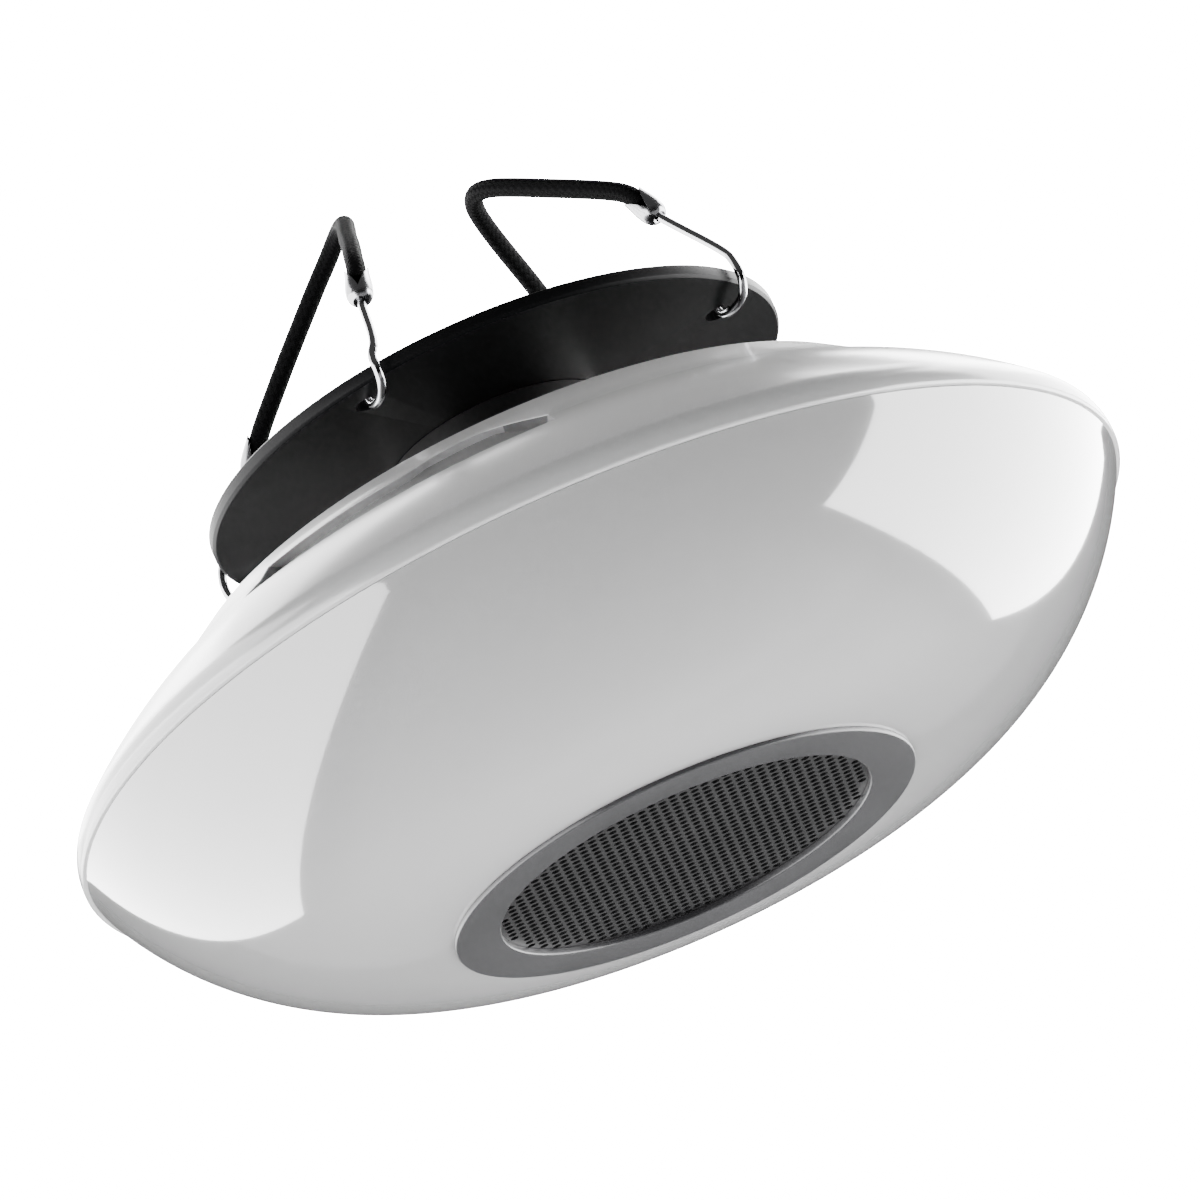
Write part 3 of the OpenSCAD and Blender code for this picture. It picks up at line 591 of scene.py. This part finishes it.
def crimp_sleeve(end):
    """Bullet-shaped sheet sleeve, round at the wire and open at the cord, with a wedge slot."""
    foot, top = on_plate(CRIMP_FEET[end]), on_plate(CRIMP_TOPS[end])
    profile = CRIMP_OUTSIDE + [(2.75, (top - foot).length)]
    bm = turned(profile, closed=False, steps=64)
    tilt = math.radians(WEDGE_ANGLE / 2)
    for sign in (-1, 1):
        bmesh.ops.bisect_plane(
            bm, geom=bm.verts[:] + bm.edges[:] + bm.faces[:], plane_co=(0, 0, WEDGE_FOOT),
            plane_no=(0, math.cos(tilt), -sign * math.sin(tilt)),
        )

    def in_wedge(face):
        mid = face.calc_center_median()
        over = mid.z - WEDGE_FOOT
        return mid.x > 0 and over > 0 and abs(mid.y) < math.tan(tilt) * over

    bmesh.ops.delete(bm, geom=[f for f in bm.faces if in_wedge(f)], context="FACES")
    bmesh.ops.recalc_face_normals(bm, faces=bm.faces)
    if sum(f.normal.xy.dot(f.calc_center_median().xy) for f in bm.faces) < 0:
        bmesh.ops.reverse_faces(bm, faces=bm.faces)
    way = (top - foot).normalized()
    x_axis = (TO_CAMERA - way * TO_CAMERA.dot(way)).normalized()
    turn = Matrix((x_axis, way.cross(x_axis), way)).transposed().to_4x4()
    turn.translation = foot
    bmesh.ops.transform(bm, matrix=turn, verts=bm.verts)
    sleeve = add_piece(f"{end}_crimp_sleeve", bm, strap_of(end), chrome_sleeve)
    add_wall(sleeve, 0.35)
    edge = sleeve.modifiers.new("edge", "BEVEL")
    edge.width = 0.12 * MM
    edge.segments = 2
    edge.limit_method = "ANGLE"
    edge.angle_limit = math.radians(50)
    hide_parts(f"{end}_crimp")


for end in HOOKS:
    hook_wire(end)
    crimp_sleeve(end)


# ---------- dome ----------

def build_dome():
    """Milky bowl: one arc from the bezel's seat to the seam, with its wall and its tongue."""
    sweep = math.degrees(math.acos((SEAM_R - DOME_ARC_X) / DOME_ARC_R))
    outer = arc(DOME_ARC_X, DOME_ARC_Z, DOME_ARC_R, -90, -sweep, 72)
    inner = arc(DOME_ARC_X, DOME_ARC_Z, DOME_ARC_R - WALL, -sweep - 2, -90, 40)
    seat_r = BEZEL_OPEN_R + 4.5
    soft = 0.15
    tongue_r, tongue_t, tongue_top, tongue_foot = SEAM_R - 2.8, 2.1, SEAM_Z + 1.9, SEAM_Z - 3.9
    points = [(seat_r, BEZEL_PROUD + 0.02)] + outer[:-1]
    points += [(SEAM_R - 0.02, SEAM_Z - soft), (SEAM_R - soft, SEAM_Z), (tongue_r, SEAM_Z)]
    points += [(tongue_r, tongue_top), (tongue_r - tongue_t, tongue_top)]
    points.append((tongue_r - tongue_t, tongue_foot))
    points += inner[4:] + [(seat_r, BEZEL_PROUD + WALL)]  # the tongue hides the first four
    dome = add_piece("milky_dome", turned(points), "lamp", dome_plastic)
    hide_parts("diffuser_dome")


build_dome()


# ---------- speaker bezel and grille ----------

def build_bezel():
    neck_r, seat_r = BEZEL_OPEN_R + 4.4, BEZEL_OPEN_R + 1.7
    points = [
        (BEZEL_OPEN_R, 0), (BEZEL_R, 0), (BEZEL_R, BEZEL_PROUD), (neck_r, BEZEL_PROUD),
        (neck_r, 9), (seat_r, 9), (seat_r, BEZEL_LIP_T), (BEZEL_OPEN_R, BEZEL_LIP_T),
    ]
    points = softened(points, [0.45, 0.55, 0.1, 0.1, 0.2, 0.2, 0, 0.1], 4)
    bezel = add_piece("grey_bezel", turned(points), "lamp", bezel_coat)
    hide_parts("speaker_bezel")


def grille_cell():
    """One six-sided cell of the sheet, with its round hole and that hole's wall."""
    bm = bmesh.new()
    bmesh.ops.create_circle(bm, cap_ends=False, segments=12, radius=GRILLE_HOLE_R)
    rim = bm.edges[:]
    for v in new_verts(bmesh.ops.extrude_edge_only(bm, edges=rim)):
        aside = math.atan2(v.co.y, v.co.x) % (math.pi / 3) - math.pi / 6
        v.co *= GRILLE_PITCH / 2 / math.cos(aside) / GRILLE_HOLE_R
    for v in new_verts(bmesh.ops.extrude_edge_only(bm, edges=rim)):
        v.co.z += GRILLE_T
    return mesh_of("grille_cell", bm)


def build_grille():
    """Perforated sheet of the speaker: straight columns, each half a pitch off from the next."""
    reach = BEZEL_OPEN_R - 0.9
    cell = grille_cell()
    bm = bmesh.new()
    aside = GRILLE_PITCH * math.sqrt(3) / 2
    columns = math.ceil(reach / aside)
    for j in range(-columns, columns + 1):
        for i in range(-columns, columns + 1):
            x, y = j * aside, (i + (j % 2) / 2) * GRILLE_PITCH
            if math.hypot(x, y) < reach:
                stamp(bm, cell, (x, y, BEZEL_LIP_T))
    bpy.data.meshes.remove(cell)
    bmesh.ops.remove_doubles(bm, verts=bm.verts, dist=0.01)
    rim = [
        e for e in bm.edges
        if e.is_boundary and all(abs(v.co.z - BEZEL_LIP_T) < 1e-4 for v in e.verts)
    ]
    for v in new_verts(bmesh.ops.extrude_edge_only(bm, edges=rim)):
        v.co = at_radius(v.co, BEZEL_OPEN_R + 1.5, BEZEL_LIP_T)
    bmesh.ops.recalc_face_normals(bm, faces=bm.faces)
    face_z(bm, -1)
    grille = add_piece("perforated_grille", bm, "lamp", grille_coat)
    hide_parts("speaker_grille")


build_bezel()
build_grille()


# ---------- upper shell with its slot ----------

def band_height(r):
    """Height of the shell's outside on its collar band, at a radius."""
    return COLLAR_Z - (r - COLLAR_R) * math.tan(BAND_SLOPE)


def band_radius(z):
    """Radius of the shell's outside on its collar band, at a height."""
    return COLLAR_R + (COLLAR_Z - z) / math.tan(BAND_SLOPE)


def arc_radius(z):
    """Radius of the shell's outside below the crease, at a height."""
    return SHELL_ARC_X + math.sqrt(SHELL_ARC_R**2 - (z - SHELL_ARC_Z) ** 2)


def crease_height():
    """Where the slope meets the collar band, found by halving."""
    low, high = COLLAR_R, 110.0
    for _ in range(60):
        mid = (low + high) / 2
        if arc_radius(band_height(mid)) < mid:
            low = mid
        else:
            high = mid
    return band_height(mid)


def slot_ceiling(degrees):
    """Height of the slot's ceiling at an angle from the front: a bulge that falls to the right."""
    sideways = SLOT_EDGE_R * math.sin(math.radians(degrees - SLOT_BULGE_AT))
    centre = SLOT_TOP_Z + SLOT_BULGE_H - SLOT_BULGE_R
    bulge = centre + math.sqrt(max(0, SLOT_BULGE_R**2 - sideways**2))
    fall = max(0.0, (degrees - SLOT_TAPER_FROM) / (SLOT_TO - SLOT_TAPER_FROM))
    return max(SLOT_TOP_Z, bulge) - SLOT_TAPER * min(1.0, fall) ** 1.5


def shell_profile():
    """The shell's outside from the lip's foot to the hole in the deck."""
    def on_arc(z):
        return math.degrees(math.asin((z - SHELL_ARC_Z) / SHELL_ARC_R))

    tangent = math.degrees(math.atan2(ROUND_Z - SHELL_ARC_Z, ROUND_X - SHELL_ARC_X))
    foot, round_r = SEAM_Z + SEAM_GAP, 0.8
    points = [(LIP_R - WALL + 0.1, foot)]
    points += arc(LIP_R - round_r, foot + round_r, round_r, -90, 0, 8)
    points += arc(ROUND_X, ROUND_Z, LIP_ROUND_R, 0, tangent, 10)
    start, floor, end = on_arc(points[-1][1]), on_arc(SLOT_FLOOR_Z), on_arc(crease_height())
    points += arc(SHELL_ARC_X, SHELL_ARC_Z, SHELL_ARC_R, start, floor, 26)[1:]
    points += arc(SHELL_ARC_X, SHELL_ARC_Z, SHELL_ARC_R, floor, end, 6)[1:]
    points += [(band_radius(z), z) for z in (SLOT_TOP_Z, *BAND_ROWS)]
    return points + DECK_EDGE + [(r, DECK_Z) for r in DECK_ROWS]


def from_front(co):
    """Angle of a place round the axis, from the front, in degrees."""
    return math.degrees(math.atan2(co.x, -co.y))


def beside_slot(co, margin=0.0):
    """Whether a place lies between the angles of the slot's ends."""
    return SLOT_FROM - margin < from_front(co) < SLOT_TO + margin


def edge_key(edge):
    """A name for an edge that outlives changes to the mesh round it."""
    return tuple(sorted(tuple(round(c, 3) for c in v.co) for v in edge.verts))


def shape_slot_edges(bm):
    """Moves a column of the shell to the slot's right end and a row to the slot's ceiling."""
    step = 360 / TURN_STEPS
    last_column = round(SLOT_TO / step) * step
    shift = Matrix.Rotation(math.radians(SLOT_TO - last_column), 3, "Z")
    for v in bm.verts:
        if abs(from_front(v.co) - last_column) < 0.01:
            v.co.rotate(shift)
    for v in bm.verts:
        if abs(v.co.z - SLOT_TOP_Z) < 1e-3 and beside_slot(v.co, 0.01):
            z = slot_ceiling(from_front(v.co))
            v.co = at_radius(v.co, band_radius(z), z)


def slot_opening(bm):
    """The faces that the slot takes out of the shell's outside."""
    opening = []
    for f in bm.faces:
        mid = f.calc_center_median()
        heights = [v.co.z for v in f.verts]
        if beside_slot(mid) and min(heights) > SLOT_FLOOR_Z - 1e-3:
            if mid.z < slot_ceiling(from_front(mid)) and max(heights) < SLOT_REACH_Z:
                opening.append(f)
    return opening


def sink_slot(bm):
    """Draws the slot's faces in to its back wall and softens the edges of its opening."""
    opening = slot_opening(bm)
    around = {e for f in opening for e in f.edges}
    rim = {edge_key(e) for e in around if sum(f in opening for f in e.link_faces) == 1}
    for v in new_verts(bmesh.ops.extrude_face_region(bm, geom=opening)):
        v.co = at_radius(v.co, SLOT_BACK_R, v.co.z)
    bmesh.ops.delete(bm, geom=[f for f in opening if f.is_valid], context="FACES")
    bmesh.ops.recalc_face_normals(bm, faces=bm.faces)
    face_z(bm, 1)
    bmesh.ops.bevel(
        bm, geom=[e for e in bm.edges if edge_key(e) in rim], offset=0.35, offset_type="OFFSET",
        segments=3, profile=0.5, affect="EDGES", material=-1, clamp_overlap=True,
    )


def paint_slot_shade(bm):
    """Gives the faces inside the slot the shell's second material, a darker grey that is painted
    shade for the recess.
    """
    for f in bm.faces:
        mid = f.calc_center_median()
        if SLOT_FLOOR_Z - 0.1 < mid.z < SLOT_REACH_Z and beside_slot(mid):
            if mid.xy.length < min(arc_radius(mid.z), band_radius(mid.z)) - 0.25:
                f.material_index = 1


def above_slot(co):
    """Whether a place is on the sharp wedge above the slot, too thin for the full wall."""
    return beside_slot(co, 1) and abs(co.z - slot_ceiling(from_front(co))) < 0.8


def build_shell():
    """White upper shell with its slot, its wall and the openings in its deck."""
    bm = turned(shell_profile(), closed=False)
    face_z(bm, 1)
    shape_slot_edges(bm)
    sink_slot(bm)
    paint_slot_shade(bm)
    bm.verts.index_update()
    thin = [v.index for v in bm.verts if above_slot(v.co)]
    shell = add_piece("white_upper_shell", bm, "lamp", shell_plastic)
    # the second material is painted shade on the slot's walls and ceiling
    shell.data.materials.append(slot_painted_shade)
    full = shell.vertex_groups.new(name="full_wall")
    full.add(range(len(shell.data.vertices)), 1.0, "REPLACE")
    full.add(thin, 0.1, "REPLACE")
    add_wall(shell, WALL).vertex_group = full.name
    carve(shell, deck_openings())
    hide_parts("upper_shell")


def deck_openings():
    """Cutters for the two button holes and for the charging socket."""
    bm = bmesh.new()
    middle, depth = DECK_Z - WALL / 2, WALL + 2
    for angle in BUTTON_ANGLES:
        drill(bm, BUTTON_R + 0.3, depth, polar(BUTTON_RING_R, angle, middle))
    place = Matrix.Translation(polar(BUTTON_RING_R, COVER_ANGLE, middle))
    place @= Matrix.Rotation(math.radians(COVER_ANGLE), 4, "Z")
    place @= Matrix.Diagonal((*SOCKET_OPENING, depth, 1))
    bmesh.ops.create_cube(bm, size=1, matrix=place)
    return bm


build_shell()


# ---------- hanging plate and neck ----------

def build_plate():
    """Black plate, bevelled below, with a hole for each hook."""
    points = [
        (0, 0), (PLATE_R - 0.65, 0), (PLATE_R, 0.65), (PLATE_R, PLATE_T - 0.4),
        (PLATE_R - 0.4, PLATE_T), (0, PLATE_T),
    ]
    outline = softened(points, [0, 0.25, 0.25, 0.15, 0.15, 0], 3)
    outline = [point for point in outline if point[0] > 0] + [(0, PLATE_T), (0, 0)]
    bm = turned([(r, PLATE_Z + z) for r, z in outline])
    plate = add_piece("black_hanging_plate", bm, "lamp", plate_coat)
    holes = bmesh.new()
    for angle, *_ in HOOKS.values():
        drill(holes, HOOK_HOLE_R, PLATE_T + 2, polar(HOOK_RING_R, angle, PLATE_Z + PLATE_T / 2))
    carve(plate, holes)
    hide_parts("hanging_plate")


def build_neck():
    """Black post with a flange on the deck; both ends stand just clear of their neighbours."""
    flange_r, clear = NECK_R + 8, 0.01
    points = [
        (0, clear), (flange_r, clear), (flange_r, NECK_FLANGE_T), (NECK_R + 1, NECK_FLANGE_T),
        (NECK_R, NECK_FLANGE_T + 1), (NECK_R, PLATE_Z - DECK_Z - clear),
        (0, PLATE_Z - DECK_Z - clear),
    ]
    points = softened(points, [0, 0.2, 0.8, 0.3, 0.6, 0.2, 0], 4)
    bm = turned([(r, DECK_Z + z) for r, z in points])
    neck = add_piece("black_neck", bm, "lamp", neck_plastic)
    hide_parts("neck_post")


def pan_screws(name, node, places, z):
    """Pan heads with cross recesses, and their shanks, in place of the plain ones."""
    mesh = mesh_of("screw", turned(SCREW, steps=48))
    bm = bmesh.new()
    for radius, degrees in places:
        stamp(bm, mesh, polar(radius, degrees, z))
    bpy.data.meshes.remove(mesh)
    screws = add_piece(name, bm, "lamp", zinc_screw)
    for turn in (20, 110):  # the cross takes two cuts, because cutters may not overlap
        cutter = bmesh.new()
        for i, (radius, degrees) in enumerate(places):
            place = Matrix.Translation(polar(radius, degrees, z + 1.6))
            place @= Matrix.Rotation(math.radians(turn + 37 * i), 4, "Z")
            place @= Matrix.Diagonal((*SCREW_BAR, 1))
            bmesh.ops.create_cube(cutter, size=1, matrix=place)
        carve(screws, cutter)
    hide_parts(node)


build_plate()
build_neck()
flange_places = [(NECK_R + 4.4, 45 + 90 * i) for i in range(4)]
top_places = [(NECK_R - 6.6, 90 * i) for i in range(4)]
pan_screws("neck_flange_screws", "neck_screws", flange_places, DECK_Z + NECK_FLANGE_T)
pan_screws("plate_top_screws", "plate_screws", top_places, PLATE_Z + PLATE_T)


# ---------- CAD pieces that keep their own form ----------

FINISHES = {
    "speaker_cone": cone_paper, "speaker_surround": black_rubber, "grille_gasket": black_rubber,
    "speaker_frame": frame_paint, "speaker_magnet": magnet_steel, "speaker_pot": inner_white,
    "pot_screws": zinc_screw, "seam_gasket": seal_rubber, "reflector_tray": inner_white,
    "tray_screws": zinc_screw, "led_board": board_white, "led_chips": led_phosphor,
    "battery_holder": chip_plastic, "battery_cells": cell_wrap, "control_board": board_green,
    "board_parts": chip_plastic, "board_screws": zinc_screw, "button_board": board_green,
    "tact_switches": chip_plastic, "power_button": button_plastic, "light_button": button_plastic,
    "charge_socket": zinc_screw, "socket_cover": cover_rubber, "neck_gasket": black_rubber,
}
for node, finish in FINISHES.items():
    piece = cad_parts[node]
    piece.data.materials.clear()
    piece.data.materials.append(finish)


# ---------- floor, backdrop and light ----------

def area_light(name, kind, place, aim, size, power):
    """A softbox that either lights matt faces or shows as a reflection in glossy ones."""
    data = bpy.data.lights.new(name, "AREA")
    data.shape = "RECTANGLE"
    data.size, data.size_y = size
    data.energy = power
    lamp = in_scene(name, data)
    lamp.location = place
    lamp.rotation_euler = (Vector(aim) - Vector(place)).to_track_quat("-Z", "Y").to_euler()
    lamp.visible_diffuse = kind == "matt"
    lamp.visible_glossy = kind == "shine"


def make_floor():
    """A wide floor below the lamp, which glows a little so that it never looks dark."""
    paint = bpy.data.materials.new("pale_floor")
    paint.use_nodes = True
    shader = paint.node_tree.nodes["Principled BSDF"]
    shader.inputs["Base Color"].default_value = (0.85, 0.85, 0.85, 1)
    shader.inputs["Roughness"].default_value = 0.9
    shader.inputs["Emission Color"].default_value = (1, 1, 1, 1)
    shader.inputs["Emission Strength"].default_value = 0.3
    bm = bmesh.new()
    below = Matrix.Translation((0, 0, -1.3))
    bmesh.ops.create_grid(bm, x_segments=1, y_segments=1, size=4, matrix=below)
    floor = in_scene("floor", mesh_of("floor", bm))
    floor.data.materials.append(paint)


def make_world():
    """A white backdrop that lights the lamp from behind and above, and hardly from the camera."""
    world = bpy.data.worlds.new("studio")
    bpy.context.scene.world = world
    world.use_nodes = True
    tree = world.node_tree
    room, backdrop = tree.nodes["Background"], tree.nodes.new("ShaderNodeBackground")
    backdrop.inputs["Strength"].default_value = 30.0
    backdrop.inputs["Color"].default_value = (1, 1, 1, 1)
    place, split = tree.nodes.new("ShaderNodeTexCoord"), tree.nodes.new("ShaderNodeSeparateXYZ")
    depth, height = (tree.nodes.new("ShaderNodeMapRange") for _ in range(2))
    for node, values in ((depth, (0.8, 0.98, 0.2, 3.8)), (height, (0.0, 0.5, 0.0, 2.9))):
        for socket, value in zip(("From Min", "From Max", "To Min", "To Max"), values):
            node.inputs[socket].default_value = value
    both = tree.nodes.new("ShaderNodeMath")
    seen, chosen = tree.nodes.new("ShaderNodeLightPath"), tree.nodes.new("ShaderNodeMixShader")
    link(tree, place.outputs["Generated"], split.inputs["Vector"])
    link(tree, split.outputs["Y"], depth.inputs["Value"])
    link(tree, split.outputs["Z"], height.inputs["Value"])
    link(tree, depth.outputs["Result"], both.inputs[0])
    link(tree, height.outputs["Result"], both.inputs[1])
    link(tree, both.outputs["Value"], room.inputs["Strength"])
    link(tree, seen.outputs["Is Camera Ray"], chosen.inputs["Fac"])
    link(tree, room.outputs["Background"], chosen.inputs[1])
    link(tree, backdrop.outputs["Background"], chosen.inputs[2])
    link(tree, chosen.outputs["Shader"], tree.nodes["World Output"].inputs["Surface"])


# matt ones light the faces, shine ones only show as reflections in glossy faces
LIGHTS = {
    "left_light": ("matt", (-1.02, 0.0, -0.25), (0, 0.0, -0.25), (3.0, 1.6), 28),
    "left_softbox": ("shine", (-1.0, 0.0, -0.25), (0, 0.0, -0.25), (3.0, 1.6), 200),
    "left_upper_softbox": ("shine", (-1.0, 0.5, 1.0), (0, 0.2, 0.3), (2.6, 0.9), 60),
    "right_upper_softbox": ("shine", (1.1, 1.1, 0.9), (0, 0.2, 0.2), (1.8, 0.9), 90),
    "back_left_softbox": ("shine", (-0.85, 1.9, 1.75), (0, 0, 0.1), (1.6, 1.6), 56),
    "back_right_softbox": ("shine", (1.25, 1.3, 1.6), (0, 0, 0.1), (1.1, 1.0), 36),
    "right_light": ("matt", (1.02, 0.78, -0.4), (0, 0.78, -0.4), (2.1, 1.3), 20),
    "right_softbox": ("shine", (1.0, 0.78, -0.4), (0, 0.78, -0.4), (2.1, 1.3), 190),
    "top_light": ("matt", (0.0, 1.1, 1.3), (0, 0, 0.1), (2.4, 1.0), 72),
    "front_light": ("matt", (-0.2, -1.9, 1.5), (0, 0, 0.05), (2.0, 1.4), 7),
    "low_light": ("matt", (0.5, 1.0, -0.9), (0, 0, 0.0), (1.6, 1.0), 17),
}

make_floor()
make_world()
for name, values in LIGHTS.items():
    area_light(name, *values)
